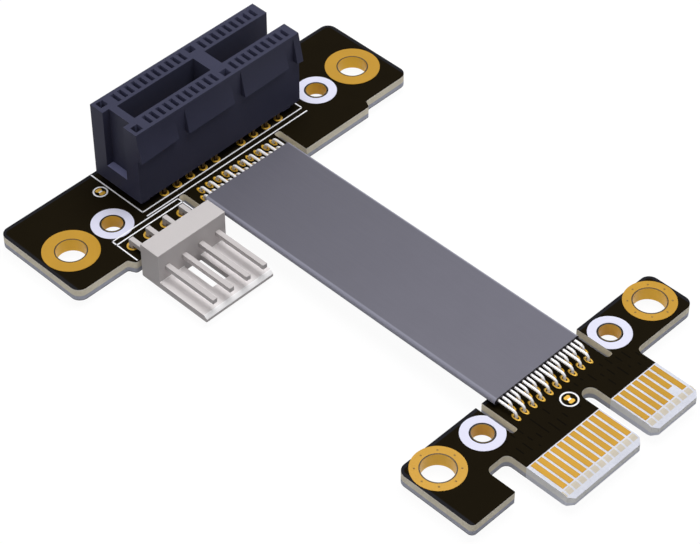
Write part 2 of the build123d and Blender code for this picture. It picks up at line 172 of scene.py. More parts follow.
def feed(tree, socket, source):
    """Links a socket to another, or sets it to a plain value."""
    if isinstance(source, bpy.types.NodeSocket):
        tree.links.new(source, socket)
    elif source is not None:
        socket.default_value = source


def calc(tree, operation, a, b=None, c=None, clamp=False):
    """One Math node."""
    node = add_node(tree, "ShaderNodeMath", operation=operation, use_clamp=clamp)
    for socket, source in zip(node.inputs, (a, b, c)):
        feed(tree, socket, source)
    return node.outputs[0]


def mix_colour(tree, factor, a, b):
    """One colour Mix node."""
    node = add_node(tree, "ShaderNodeMix", data_type="RGBA")
    feed(tree, node.inputs[0], factor)
    feed(tree, node.inputs[6], a)
    feed(tree, node.inputs[7], b)
    return node.outputs[2]


def noise(tree, vector, scale, detail=3.0, roughness=0.5):
    """A noise texture's value."""
    node = add_node(tree, "ShaderNodeTexNoise")
    feed(tree, node.inputs["Vector"], vector)
    feed(tree, node.inputs["Scale"], scale)
    feed(tree, node.inputs["Detail"], detail)
    feed(tree, node.inputs["Roughness"], roughness)
    return node.outputs["Fac"]


def step_mask(tree, value, start, end):
    """0 before start and 1 after end, smooth between them."""
    node = add_node(tree, "ShaderNodeMapRange", interpolation_type="SMOOTHSTEP")
    feed(tree, node.inputs["Value"], value)
    node.inputs["From Min"].default_value = start
    node.inputs["From Max"].default_value = end
    return node.outputs["Result"]


def split(tree, vector):
    """The three parts of a vector."""
    node = add_node(tree, "ShaderNodeSeparateXYZ")
    tree.links.new(vector, node.inputs[0])
    return node.outputs[0], node.outputs[1], node.outputs[2]


def between(tree, value, low, high):
    """1 where a value lies between two limits."""
    above = calc(tree, "GREATER_THAN", value, low)
    return calc(tree, "MULTIPLY", above, calc(tree, "LESS_THAN", value, high))


def surface(tree):
    """An object point's place, that place's three parts and the three parts of the normal."""
    place = add_node(tree, "ShaderNodeTexCoord").outputs["Object"]
    normal = add_node(tree, "ShaderNodeNewGeometry").outputs["Normal"]
    return place, split(tree, place), split(tree, normal)


def steep(tree, value, limit):
    """1 where a part of the normal is over a limit either way."""
    return calc(tree, "GREATER_THAN", calc(tree, "ABSOLUTE", value), limit)


def per_board(tree, y, slot_value, plug_value):
    """In metres, a length given in mm for the slot board and for the plug board."""
    on_slot = calc(tree, "GREATER_THAN", y, BETWEEN_BOARDS_Y * MM)
    return calc(tree, "MULTIPLY_ADD", on_slot, (slot_value - plug_value) * MM, plug_value * MM)


def background_rays(tree):
    """1 for the rays that should see the pale background and not its light."""
    rays = add_node(tree, "ShaderNodeLightPath")
    indirect = calc(tree, "MAXIMUM", rays.outputs["Is Glossy Ray"],
                    rays.outputs["Is Transmission Ray"])
    return calc(tree, "MAXIMUM", rays.outputs["Is Camera Ray"], indirect)


def rgb(*levels):
    """A colour given in screen levels from 0 to 255, as Blender's linear colour."""
    linear = []
    for level in levels:
        c = level / 255
        linear.append(c / 12.92 if c <= 0.04045 else ((c + 0.055) / 1.055) ** 2.4)
    return (*linear, 1.0)


def shader_group(name, inputs, outputs):
    """An empty shader node group with the given sockets."""
    group = bpy.data.node_groups.new(name, "ShaderNodeTree")
    for title, kind, default in inputs:
        socket = group.interface.new_socket(title, in_out="INPUT", socket_type=kind)
        if default is not None:
            socket.default_value = default
    for title, kind in outputs:
        group.interface.new_socket(title, in_out="OUTPUT", socket_type=kind)
    return group, group.nodes.new("NodeGroupInput"), group.nodes.new("NodeGroupOutput")


def mottle_group():
    """Slow colour variation and a fine surface grain, shared by all finishes."""
    group, source, sink = shader_group(
        "Mottle and grain",
        (("Vector", "NodeSocketVector", None), ("Colour", "NodeSocketColor", (0.5, 0.5, 0.5, 1)),
         ("Variation", "NodeSocketFloat", 0.1), ("Grain Scale", "NodeSocketFloat", 9000.0),
         ("Roughness", "NodeSocketFloat", 0.5), ("Roughness Spread", "NodeSocketFloat", 0.08)),
        (("Colour", "NodeSocketColor"), ("Roughness", "NodeSocketFloat"),
         ("Height", "NodeSocketFloat")))
    slow = noise(group, source.outputs["Vector"], 320.0)
    fine = noise(group, source.outputs["Vector"], source.outputs["Grain Scale"], 2.0)
    centred = calc(group, "SUBTRACT", slow, 0.5)
    speck = calc(group, "SUBTRACT", fine, 0.5)
    change = calc(group, "MULTIPLY", centred, source.outputs["Variation"])
    change = calc(group, "MULTIPLY_ADD", speck, calc(
        group, "MULTIPLY", source.outputs["Variation"], 0.5), change)
    factor = calc(group, "ADD", change, 1.0)
    scale = add_node(group, "ShaderNodeVectorMath", operation="SCALE")
    group.links.new(source.outputs["Colour"], scale.inputs[0])
    group.links.new(factor, scale.inputs["Scale"])
    group.links.new(scale.outputs[0], sink.inputs["Colour"])
    rough = calc(group, "MULTIPLY_ADD", centred, source.outputs["Roughness Spread"],
                 source.outputs["Roughness"], clamp=True)
    group.links.new(rough, sink.inputs["Roughness"])
    group.links.new(fine, sink.inputs["Height"])
    return group


def finish(name, colour, roughness, variation=0.12, grain=9000.0, bump=0.1, metallic=0.0,
           spread=0.1, specular=0.5):
    """A plain finish with mottle and grain. Returns the material, its tree and its group node."""
    material = bpy.data.materials.new(name)
    material.use_nodes = True
    tree = material.node_tree
    shader = tree.nodes["Principled BSDF"]
    shader.inputs["Metallic"].default_value = metallic
    shader.inputs["Specular IOR Level"].default_value = specular
    place = add_node(tree, "ShaderNodeTexCoord").outputs["Object"]
    mottle = add_node(tree, "ShaderNodeGroup", node_tree=bpy.data.node_groups["Mottle and grain"])
    feed(tree, mottle.inputs["Vector"], place)
    feed(tree, mottle.inputs["Colour"], colour)
    mottle.inputs["Variation"].default_value = variation
    mottle.inputs["Grain Scale"].default_value = grain
    mottle.inputs["Roughness"].default_value = roughness
    mottle.inputs["Roughness Spread"].default_value = spread
    tree.links.new(mottle.outputs["Colour"], shader.inputs["Base Color"])
    tree.links.new(mottle.outputs["Roughness"], shader.inputs["Roughness"])
    relief = add_node(tree, "ShaderNodeBump")
    relief.inputs["Strength"].default_value = bump
    relief.inputs["Distance"].default_value = 0.02 * MM
    tree.links.new(mottle.outputs["Height"], relief.inputs["Height"])
    tree.links.new(relief.outputs["Normal"], shader.inputs["Normal"])
    return material, tree, mottle


def board_finish():
    """Black solder mask on the faces, layered laminate on the cut edges and the bare tongue, and a
    painted highlight along the top of the cut edges.
    """
    material, tree, mottle = finish("Board", rgb(*MASK_BLACK), 0.6, 0.3, 5200.0, 0.06,
                                    specular=0.01)
    place, (x, y, z), facing = surface(tree)
    flat = steep(tree, facing[2], 0.7)
    depth = calc(tree, "MULTIPLY", z, -1 / MM)
    weave = noise(tree, place, 2600.0, 4.0, 0.6)
    beige = mix_colour(tree, weave, rgb(242, 232, 210), rgb(255, 247, 226))
    grey = mix_colour(tree, weave, rgb(184, 187, 202), rgb(206, 208, 220))
    lower = step_mask(tree, depth, *GREY_LAYER)
    edge = mix_colour(tree, lower, beige, grey)
    # Painted highlight: a pale band along the top of each cut edge
    edge = mix_colour(tree, step_mask(tree, depth, *TOP_EDGE_HIGHLIGHT), edge, rgb(250, 244, 232))
    edge = mix_colour(tree, step_mask(tree, depth, *BOTTOM_LAYER), edge, rgb(60, 60, 66))
    rim = rim_mask(tree, x, y)
    mask = mix_colour(tree, rim, rgb(*MASK_BLACK), rgb(36, 36, 40))
    mask = mix_colour(tree, calc(tree, "MULTIPLY", trace_mask(tree, x, y), 0.85), mask,
                      rgb(10, 8, 5))
    bare = calc(tree, "LESS_THAN", y, TONGUE_BARE_Y * MM)
    bare = calc(tree, "MULTIPLY", bare, calc(tree, "GREATER_THAN", x, TONGUE_LEFT_X * MM))
    laminate = mix_colour(tree, weave, rgb(206, 209, 222), rgb(228, 230, 240))
    ghost = ghost_mask(tree, x, y)
    laminate = mix_colour(tree, calc(tree, "MULTIPLY", ghost, 0.8), laminate,
                          rgb(206, 194, 170))
    face = mix_colour(tree, bare, mask, laminate)
    pale = mix_colour(tree, lower, rgb(255, 255, 255), rgb(238, 241, 252))
    edge = mix_colour(tree, calc(tree, "MULTIPLY", bare, 0.9), edge, pale)
    tree.links.new(mix_colour(tree, flat, edge, face), mottle.inputs["Colour"])
    return material


def rim_mask(tree, x, y):
    """A narrow band along the boards' outlines where the inner copper plane ends."""
    across = calc(tree, "ABSOLUTE", x)
    half = per_board(tree, y, SLOT_HALF_LENGTH, PLUG_HALF_LENGTH)
    side = calc(tree, "SUBTRACT", half, across)
    back = calc(tree, "SUBTRACT", per_board(tree, y, SLOT_REAR_Y, PLUG_REAR_Y), y)
    near = calc(tree, "MINIMUM", side, back)
    corner = calc(tree, "MULTIPLY", calc(tree, "ADD", side, back), RIM_CORNER_SHARE)
    return step_mask(tree, calc(tree, "MINIMUM", near, corner), RIM[0] * MM, RIM[1] * MM)


def trace_mask(tree, x, y):
    """Faint dark tracks in the mask between the cable and the card edge."""
    along = calc(tree, "MULTIPLY", x, 1 / MM)
    place = calc(tree, "FRACT", calc(tree, "ADD", along, 100.1 - FIRST_CONTACT_X))
    track = between(tree, place, 0.42, 0.58)
    zone = between(tree, y, TRACK_Y[0] * MM, TRACK_Y[1] * MM)
    reach = between(tree, x, TRACK_X[0] * MM, TRACK_X[1] * MM)
    wave = add_node(tree, "ShaderNodeCombineXYZ")
    feed(tree, wave.inputs[0], calc(tree, "FLOOR", along))
    feed(tree, wave.inputs[1], calc(tree, "MULTIPLY", y, 1 / MM))
    broken = calc(tree, "GREATER_THAN", noise(tree, wave.outputs[0], 0.9, 0.0), 0.5)
    mask = calc(tree, "MULTIPLY", calc(tree, "MULTIPLY", track, zone), reach)
    return calc(tree, "MULTIPLY", mask, broken)


def ghost_mask(tree, x, y):
    """The lower fingers that show through the bare laminate between the upper ones."""
    along = calc(tree, "MULTIPLY", x, 1 / MM)
    place = calc(tree, "FRACT", calc(tree, "ADD", along, 100.5 - FIRST_CONTACT_X))
    bar = between(tree, place, 0.12, 0.88)
    zone = between(tree, y, GHOST_Y[0] * MM, GHOST_Y[1] * MM)
    return calc(tree, "MULTIPLY", bar, zone)


def jacket_finish(look):
    """Smooth grey jacket with painted light: a gradient brighter towards the plug board, a painted
    highlight on the rounded side edges, and painted shade on its underside and on its cut ends.
    """
    base = tuple(look.jacket_colour)
    material, tree, mottle = finish("Grey jacket", base, 0.4, 0.06, 5200.0, 0.06, specular=0.2)
    place, (_, y, _), facing = surface(tree)
    cut = steep(tree, facing[1], 0.7)
    stretch = add_node(tree, "ShaderNodeMapping")
    tree.links.new(place, stretch.inputs["Vector"])
    stretch.inputs["Scale"].default_value = (1.0, 0.04, 1.0)
    drawn = noise(tree, stretch.outputs[0], 5200.0, 2.0)
    # Painted light: darker at the slot end and lighter at the plug end, as the light falls
    painted_light_ramp = step_mask(tree, y, CABLE_NEAR_Y * MM, CABLE_FAR_Y * MM)
    dark, light = [(*(share * c for c in base[:3]), 1.0) for share in (0.84, 1.1)]
    painted_light_tone = mix_colour(tree, painted_light_ramp, dark, light)
    drawn_lines_and_painted_light = mix_colour(tree, calc(tree, "MULTIPLY", drawn, 0.10), painted_light_tone, rgb(136, 134, 150))
    # Painted highlight on the rounded side edges
    side = step_mask(tree, calc(tree, "ABSOLUTE", facing[0]), 0.03, 0.4)
    drawn_lines_and_painted_light = mix_colour(tree, calc(tree, "MULTIPLY", side, 0.7), drawn_lines_and_painted_light, rgb(156, 156, 172))
    # Painted shade on the faces that point down
    drawn_lines_and_painted_light = mix_colour(tree, step_mask(tree, facing[2], -0.1, -0.5), drawn_lines_and_painted_light, rgb(84, 82, 92))
    # Painted shade on the cut ends, which face sideways
    tree.links.new(mix_colour(tree, cut, drawn_lines_and_painted_light, rgb(44, 42, 48)), mottle.inputs["Colour"])
    return material


def plating_finish(look):
    """Gold rings whose bores are painted brighter against the shade inside them, with a fine
    painted shade line round each bore.
    """
    base = tuple(look.ring_gold)
    material, tree, mottle = finish("Plated ring", base, 0.36, 0.14, 7000.0, 0.1, 0.2)
    _, (x, y, _), facing = surface(tree)
    across = calc(tree, "SUBTRACT", calc(tree, "ABSOLUTE", x),
                  per_board(tree, y, SLOT_HOLE_X, PLUG_HOLE_X))
    along = calc(tree, "SUBTRACT", y, per_board(tree, y, 0.0, PLUG_Y))
    away = calc(tree, "SQRT", calc(tree, "ADD", calc(tree, "MULTIPLY", across, across),
                                   calc(tree, "MULTIPLY", along, along)))
    beyond = calc(tree, "SUBTRACT", away, per_board(tree, y, SLOT_BORE, PLUG_BORE))
    top = steep(tree, facing[2], 0.5)
    wall = calc(tree, "SUBTRACT", 1.0, top)
    # Painted light on the bore walls
    bore_wall_painted_light = calc(tree, "MULTIPLY", wall, calc(tree, "LESS_THAN", beyond, 0.3 * MM))
    # Painted shade: a dark line round the rim of each bore
    lip_painted_shade = calc(tree, "MULTIPLY", top, calc(tree, "LESS_THAN", beyond, 0.15 * MM))
    gold = mix_colour(tree, bore_wall_painted_light, base, rgb(*BORE_GOLD_PAINTED_LIGHT))
    tree.links.new(mix_colour(tree, calc(tree, "MULTIPLY", lip_painted_shade, 0.95), gold, rgb(38, 28, 10)),
                   mottle.inputs["Colour"])
    return material


def barrel_finish():
    """Plated bores painted brighter against the shade inside them, with painted shade on their
    narrow end faces.
    """
    base = rgb(*BORE_GOLD_PAINTED_LIGHT)
    material, tree, mottle = finish("Barrel gold", base, 0.4, 0.16, 6000.0, 0.12)
    facing = surface(tree)[2]
    # Painted shade on the end faces that point up
    tree.links.new(mix_colour(tree, steep(tree, facing[2], 0.5), base, rgb(34, 27, 14)),
                   mottle.inputs["Colour"])
    return material


def ivory_finish(look):
    """Pale plastic, with painted light: lighter on the flat tongue against its shade, and a
    painted highlight on its sloped end.
    """
    base = tuple(look.header_colour)
    material, tree, mottle = finish("Ivory plastic", base, 0.5, 0.06, 6500.0, 0.1, specular=0.1)
    _, (_, _, z), facing = surface(tree)
    # Painted light on the tongue and a painted highlight on its sloped end
    tongue = calc(tree, "MULTIPLY", calc(tree, "LESS_THAN", z, HEADER_TONGUE_Z * MM),
                  calc(tree, "GREATER_THAN", facing[2], 0.3))
    slope_painted_highlight = calc(tree, "MULTIPLY", tongue, calc(tree, "LESS_THAN", facing[1], -0.3))
    painted_light_tone = mix_colour(tree, tongue, base, rgb(232, 227, 227))
    tree.links.new(mix_colour(tree, slope_painted_highlight, painted_light_tone, rgb(255, 254, 255)), mottle.inputs["Colour"])
    return material


def navy_finish(look):
    """Dark plastic, with painted light: lighter on the inner walls and on the floor of the end
    notch, against the shade there.
    """
    base = tuple(look.housing_colour)
    material, tree, mottle = finish("Navy plastic", base, 0.46, 0.14, 6500.0, 0.12,
                                    specular=0.07)
    _, (x, y, z), facing = surface(tree)
    # Painted light on the floor of the end notch, against its shade
    ledge_painted_light = calc(tree, "MULTIPLY", calc(tree, "GREATER_THAN", facing[2], 0.7),
                 between(tree, z, SLOT_LEDGE_Z[0] * MM, SLOT_LEDGE_Z[1] * MM))
    ledge_painted_light = calc(tree, "MULTIPLY", ledge_painted_light, calc(tree, "LESS_THAN", x, SLOT_LEFT_X * MM))
    # Painted light on the inner walls of the opening, against their shade
    off = calc(tree, "ABSOLUTE", calc(tree, "SUBTRACT", y, SLOT_Y * MM))
    inner = calc(tree, "MULTIPLY", between(tree, x, SLOT_LEFT_X * MM, SLOT_OPEN_END_X * MM),
                 calc(tree, "LESS_THAN", off, 3.5 * MM))
    inner = calc(tree, "MULTIPLY", inner, calc(tree, "LESS_THAN", facing[2], 0.3))
    hollow_painted_light = mix_colour(tree, calc(tree, "GREATER_THAN", off, 1.5 * MM), rgb(64, 66, 86),
                        rgb(96, 98, 126))
    painted_light_tone = mix_colour(tree, inner, base, hollow_painted_light)
    tree.links.new(mix_colour(tree, ledge_painted_light, painted_light_tone, rgb(116, 118, 152)), mottle.inputs["Colour"])
    return material


def contact_finish(look):
    """Gold contacts, with painted shade low down between the body and the board."""
    base = tuple(look.finger_gold)
    material, tree, mottle = finish("Contact gold", base, 0.36, 0.14, 8000.0, 0.1, 0.35)
    z = surface(tree)[1][2]
    # Painted shade on the tails under the slot body
    low = calc(tree, "MULTIPLY", step_mask(tree, z, 1.3 * MM, 0.5 * MM),
               calc(tree, "GREATER_THAN", z, -0.2 * MM))
    tree.links.new(mix_colour(tree, low, base, rgb(58, 43, 18)), mottle.inputs["Colour"])
    return material


def build_finishes(look):
    """All finishes, by short name."""
    mottle_group()
    ring, finger = tuple(look.ring_gold), tuple(look.finger_gold)
    made = {"board": board_finish(), "navy": navy_finish(look), "ivory": ivory_finish(look),
            "jacket": jacket_finish(look), "contact": contact_finish(look),
            "barrel": barrel_finish(), "plating": plating_finish(look)}
    for key, title, *values in (
            ("ring gold", "Ring gold", ring, 0.36, 0.16, 7000.0, 0.12, 0.35),
            ("finger gold", "Finger gold", finger, 0.34, 0.14, 8000.0, 0.1, 0.35),
            # Pad gold is painted light: a brighter copy of the ring gold that offsets the shade
            # under the slot body
            ("pad", "Pad gold", rgb(222, 174, 58), 0.36, 0.16, 7000.0, 0.12, 0.25),
            ("via", "Via", rgb(110, 82, 26), 0.5, 0.1),
            ("ink", "Printing ink", rgb(222, 222, 242), 0.6, 0.06, 9000.0, 0.1),
            ("line ink", "Line ink", rgb(250, 250, 255), 0.6, 0.04, 9000.0, 0.06),
            ("tin", "Tinned wire", rgb(254, 253, 255), 0.3, 0.06, 8000.0, 0.05, 0.1),
            ("solder", "Solder", rgb(196, 196, 204), 0.3, 0.14, 5000.0, 0.15, 0.7)):
        made[key] = finish(title, *values)[0]
    return made


def placed(name, data):
    """A new object in the scene."""
    piece = bpy.data.objects.new(name, data)
    bpy.context.collection.objects.link(piece)
    return piece


def dress(node, key):
    """Gives a CAD node its finish."""
    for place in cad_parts[node].material_slots:
        place.material = FINISHES[key]


def merged_copy(node, name):
    """A new object with a CAD node's shape, its loose triangles joined into flat faces."""
    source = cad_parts[node]
    mesh = bpy.data.meshes.new(name)
    work = bmesh.new()
    work.from_mesh(source.data)
    work.transform(source.matrix_world)
    bmesh.ops.remove_doubles(work, verts=work.verts, dist=0.0005 * MM)
    bmesh.ops.dissolve_limit(work, angle_limit=math.radians(0.5), verts=work.verts,
                             edges=work.edges)
    work.to_mesh(mesh)
    work.free()
    return placed(name, mesh)


def soften(piece, width, angle=35.0):
    """Rounds a piece's sharp edges and applies the result."""
    bevel = piece.modifiers.new("Soft edges", "BEVEL")
    bevel.width = width * MM
    bevel.segments = 2
    bevel.limit_method = "ANGLE"
    bevel.angle_limit = math.radians(angle)
    return bake(piece)


def bake(piece):
    """Turns a piece's evaluated shape into its plain mesh."""
    graph = bpy.context.evaluated_depsgraph_get()
    mesh = bpy.data.meshes.new_from_object(piece.evaluated_get(graph), depsgraph=graph)
    piece.modifiers.clear()
    piece.data = mesh
    return piece


def shade_smooth(piece, angle=35.0):
    """Smooth shading, kept sharp at steep corners."""
    work = bmesh.new()
    work.from_mesh(piece.data)
    for face in work.faces:
        face.smooth = True
    for edge in work.edges:
        if len(edge.link_faces) == 2:
            edge.smooth = edge.calc_face_angle(0.0) < math.radians(angle)
    work.to_mesh(piece.data)
    work.free()
    return piece


def even_normals(piece):
    """Keeps large faces flat beside rounded edges."""
    weigh = piece.modifiers.new("Even normals", "WEIGHTED_NORMAL")
    weigh.keep_sharp = True
    weigh.weight = 80
    return bake(piece)


def settle(piece, key, slot, *nodes):
    """Gives a new piece its finish, its body and the CAD nodes that it stands for."""
    piece.data.materials.clear()
    piece.data.materials.append(FINISHES[key])
    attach(piece, ROOT)
    if nodes:
        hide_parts(*nodes)
    return piece


# Geometry node trees

def geometry_tree(name, inputs):
    """An empty geometry node tree with named inputs. Returns the tree and its two end nodes."""
    tree = bpy.data.node_groups.new(name, "GeometryNodeTree")
    for title, kind, default in inputs:
        socket = tree.interface.new_socket(title, in_out="INPUT", socket_type=kind)
        if default is not None:
            socket.default_value = default
    tree.interface.new_socket("Geometry", in_out="OUTPUT", socket_type="NodeSocketGeometry")
    return tree, tree.nodes.new("NodeGroupInput"), tree.nodes.new("NodeGroupOutput")


def end_tree(tree, sink, geometry, key):
    """Closes a tree with Realize Instances and Set Material."""
    real = tree.nodes.new("GeometryNodeRealizeInstances")
    tree.links.new(geometry, real.inputs[0])
    paint = tree.nodes.new("GeometryNodeSetMaterial")
    tree.links.new(real.outputs[0], paint.inputs["Geometry"])
    paint.inputs["Material"].default_value = FINISHES[key]
    tree.links.new(paint.outputs[0], sink.inputs[0])


def grow(name, tree, values, places=()):
    """Runs a geometry node tree on a set of places and keeps the plain mesh."""
    holder = bpy.data.meshes.new(name + " holder")
    holder.from_pydata([[c * MM for c in place] for place in places], [], [])
    maker = placed(name + " maker", holder)
    modifier = maker.modifiers.new("Make", "NODES")
    modifier.node_group = tree
    for item in tree.interface.items_tree:
        if item.item_type == "SOCKET" and item.in_out == "INPUT" and item.name in values:
            modifier[item.identifier] = values[item.name]
    mesh = bake(maker).data
    bpy.data.objects.remove(maker)
    return placed(name, mesh)


def wire_tree():
    """Rows of equal wires: one route is swept and repeated along X."""
    tree, source, sink = geometry_tree(
        "Wire row",
        (("Slot Pad Y", "NodeSocketFloat", 0.0), ("Plug Pad Y", "NodeSocketFloat", 0.0),
         ("Height", "NodeSocketFloat", 0.0), ("Low", "NodeSocketFloat", 0.0),
         ("First X", "NodeSocketFloat", 0.0), ("Pitch", "NodeSocketFloat", 0.0),
         ("Count", "NodeSocketInt", 10), ("Radius", "NodeSocketFloat", 0.0),
         ("Bend", "NodeSocketFloat", 0.0)))
    corners = []
    for y, z in (("Slot Pad Y", "Low"), ("Slot Pad Y", "Height"), ("Plug Pad Y", "Height"),
                 ("Plug Pad Y", "Low")):
        point = tree.nodes.new("ShaderNodeCombineXYZ")
        tree.links.new(source.outputs[y], point.inputs[1])
        tree.links.new(source.outputs[z], point.inputs[2])
        corners.append(point.outputs[0])
    line = tree.nodes.new("GeometryNodeMeshLine")
    line.inputs["Count"].default_value = 4
    index = tree.nodes.new("GeometryNodeInputIndex")
    pick = tree.nodes.new("GeometryNodeIndexSwitch")
    pick.data_type = "VECTOR"
    while len(pick.index_switch_items) < 4:
        pick.index_switch_items.new()
    tree.links.new(index.outputs[0], pick.inputs[0])
    for socket, corner in zip(pick.inputs[1:], corners):
        tree.links.new(corner, socket)
    move = tree.nodes.new("GeometryNodeSetPosition")
    tree.links.new(line.outputs[0], move.inputs["Geometry"])
    tree.links.new(pick.outputs[0], move.inputs["Position"])
    path = tree.nodes.new("GeometryNodeMeshToCurve")
    tree.links.new(move.outputs[0], path.inputs[0])
    bend = tree.nodes.new("GeometryNodeFilletCurve")
    bend.mode = "POLY"
    bend.inputs["Count"].default_value = 7
    tree.links.new(path.outputs[0], bend.inputs["Curve"])
    tree.links.new(source.outputs["Bend"], bend.inputs["Radius"])
    circle = tree.nodes.new("GeometryNodeCurvePrimitiveCircle")
    circle.inputs["Resolution"].default_value = 12
    tree.links.new(source.outputs["Radius"], circle.inputs["Radius"])
    tube = tree.nodes.new("GeometryNodeCurveToMesh")
    tree.links.new(bend.outputs[0], tube.inputs["Curve"])
    tree.links.new(circle.outputs[0], tube.inputs["Profile Curve"])
    tube.inputs["Fill Caps"].default_value = True
    smooth = tree.nodes.new("GeometryNodeSetShadeSmooth")
    tree.links.new(tube.outputs[0], smooth.inputs[0])
    row = tree.nodes.new("GeometryNodeMeshLine")
    start = tree.nodes.new("ShaderNodeCombineXYZ")
    step = tree.nodes.new("ShaderNodeCombineXYZ")
    tree.links.new(source.outputs["First X"], start.inputs[0])
    tree.links.new(source.outputs["Pitch"], step.inputs[0])
    tree.links.new(source.outputs["Count"], row.inputs["Count"])
    tree.links.new(start.outputs[0], row.inputs["Start Location"])
    tree.links.new(step.outputs[0], row.inputs["Offset"])
    copies = tree.nodes.new("GeometryNodeInstanceOnPoints")
    tree.links.new(row.outputs[0], copies.inputs["Points"])
    tree.links.new(smooth.outputs[0], copies.inputs["Instance"])
    end_tree(tree, sink, copies.outputs[0], "tin")
    return tree


def pad_tree(key):
    """Flat ring pads on given places: a square section swept round a circle."""
    tree, source, sink = geometry_tree(
        "Ring pads " + key,
        (("Geometry", "NodeSocketGeometry", None), ("Outer", "NodeSocketFloat", 0.0),
         ("Hole", "NodeSocketFloat", 0.0), ("Thickness", "NodeSocketFloat", 0.0),
         ("Stretch", "NodeSocketFloat", 1.0)))
    path = tree.nodes.new("GeometryNodeCurvePrimitiveCircle")
    path.inputs["Resolution"].default_value = 28
    total = calc(tree, "ADD", source.outputs["Outer"], source.outputs["Hole"])
    tree.links.new(calc(tree, "MULTIPLY", total, 0.5), path.inputs["Radius"])
    section = tree.nodes.new("GeometryNodeCurvePrimitiveQuadrilateral")
    tree.links.new(calc(tree, "SUBTRACT", source.outputs["Outer"], source.outputs["Hole"]),
                   section.inputs["Width"])
    tree.links.new(source.outputs["Thickness"], section.inputs["Height"])
    ring = tree.nodes.new("GeometryNodeCurveToMesh")
    tree.links.new(path.outputs[0], ring.inputs["Curve"])
    tree.links.new(section.outputs[0], ring.inputs["Profile Curve"])
    shape = tree.nodes.new("GeometryNodeTransform")
    scale = tree.nodes.new("ShaderNodeCombineXYZ")
    scale.inputs[0].default_value = 1.0
    scale.inputs[2].default_value = 1.0
    tree.links.new(source.outputs["Stretch"], scale.inputs[1])
    tree.links.new(ring.outputs[0], shape.inputs["Geometry"])
    tree.links.new(scale.outputs[0], shape.inputs["Scale"])
    copies = tree.nodes.new("GeometryNodeInstanceOnPoints")
    tree.links.new(source.outputs["Geometry"], copies.inputs["Points"])
    tree.links.new(shape.outputs[0], copies.inputs["Instance"])
    end_tree(tree, sink, copies.outputs[0], key)
    return tree


def solder_tree():
    """Concave solder cones on given places, wide at the board and narrow at the lead."""
    tree, source, sink = geometry_tree(
        "Solder cones",
        (("Geometry", "NodeSocketGeometry", None), ("Wide", "NodeSocketFloat", 0.0),
         ("Narrow", "NodeSocketFloat", 0.0), ("Depth", "NodeSocketFloat", 0.0)))
    cone = tree.nodes.new("GeometryNodeMeshCylinder")
    cone.inputs["Vertices"].default_value = 16
    cone.inputs["Side Segments"].default_value = 5
    cone.inputs["Radius"].default_value = 1.0
    cone.inputs["Depth"].default_value = 1.0
    position = tree.nodes.new("GeometryNodeInputPosition")
    x, y, z = split(tree, position.outputs[0])
    rise = calc(tree, "ADD", z, 0.5)
    flare = calc(tree, "POWER", rise, 2.2)
    span = calc(tree, "SUBTRACT", source.outputs["Wide"], source.outputs["Narrow"])
    radius = calc(tree, "MULTIPLY_ADD", flare, span, source.outputs["Narrow"])
    drop = calc(tree, "MULTIPLY", calc(tree, "SUBTRACT", z, 0.5), source.outputs["Depth"])
    new_place = tree.nodes.new("ShaderNodeCombineXYZ")
    tree.links.new(calc(tree, "MULTIPLY", x, radius), new_place.inputs[0])
    tree.links.new(calc(tree, "MULTIPLY", y, radius), new_place.inputs[1])
    tree.links.new(drop, new_place.inputs[2])
    bent = tree.nodes.new("GeometryNodeSetPosition")
    tree.links.new(cone.outputs[0], bent.inputs["Geometry"])
    tree.links.new(new_place.outputs[0], bent.inputs["Position"])
    smooth = tree.nodes.new("GeometryNodeSetShadeSmooth")
    tree.links.new(bent.outputs[0], smooth.inputs[0])
    copies = tree.nodes.new("GeometryNodeInstanceOnPoints")
    tree.links.new(source.outputs["Geometry"], copies.inputs["Points"])
    tree.links.new(smooth.outputs[0], copies.inputs["Instance"])
    end_tree(tree, sink, copies.outputs[0], "solder")
    return tree


def contact_places(z):
    """Where the slot's tails pass the board, at one height."""
    places = []
    for i, x in enumerate(CONTACT_X):
        row = CONTACT_ROWS[i % 2]
        places += [(x, SLOT_Y - row, z), (x, SLOT_Y + row, z)]
    return places


def wire_places(look, board, z):
    """Where the wires pass a board, at one height."""
    even_y, odd_y = WIRE_ROWS[board]
    pitch = look.wire_pitch / MM
    first = -(look.wire_count - 1) / 2 * pitch
    return [(first + i * pitch, odd_y if i % 2 else even_y, z) for i in range(look.wire_count)]


def header_places(z):
    """Where the header's legs pass the board, at one height."""
    return [(x, HEADER_PAD_Y, z) for x in HEADER_PIN_X]


def via_places():
    """Where the vias lie on the plug board's two large rings."""
    turns = [math.radians(45 * step) for step in range(8)]
    return [(side * PLUG_HOLE_X + VIA_CIRCLE * math.cos(turn),
             PLUG_Y + VIA_CIRCLE * math.sin(turn), FOIL) for side in (-1, 1) for turn in turns]


def join_pieces(name, pieces):
    """Joins several plain mesh objects into one."""
    work = bmesh.new()
    for piece in pieces:
        work.from_mesh(piece.data)
        bpy.data.objects.remove(piece)
    mesh = bpy.data.meshes.new(name)
    work.to_mesh(mesh)
    work.free()
    return placed(name, mesh)


def plate(x, y, length, width, height, corner):
    """A thin plate with rounded corners that lies on a board's top face."""
    work = bmesh.new()
    bmesh.ops.create_cube(work, size=1.0)
    bmesh.ops.scale(work, vec=(length * MM, width * MM, height * MM), verts=work.verts)
    upright = [e for e in work.edges if abs(e.verts[0].co.z - e.verts[1].co.z) > 0.5 * height * MM]
    bmesh.ops.bevel(work, geom=upright, offset=corner * MM, segments=5, affect="EDGES",
                    profile=0.5)
    bmesh.ops.translate(work, vec=(x * MM, y * MM, height / 2 * MM), verts=work.verts)
    mesh = bpy.data.meshes.new("plate")
    work.to_mesh(mesh)
    work.free()
    return placed("plate", mesh)


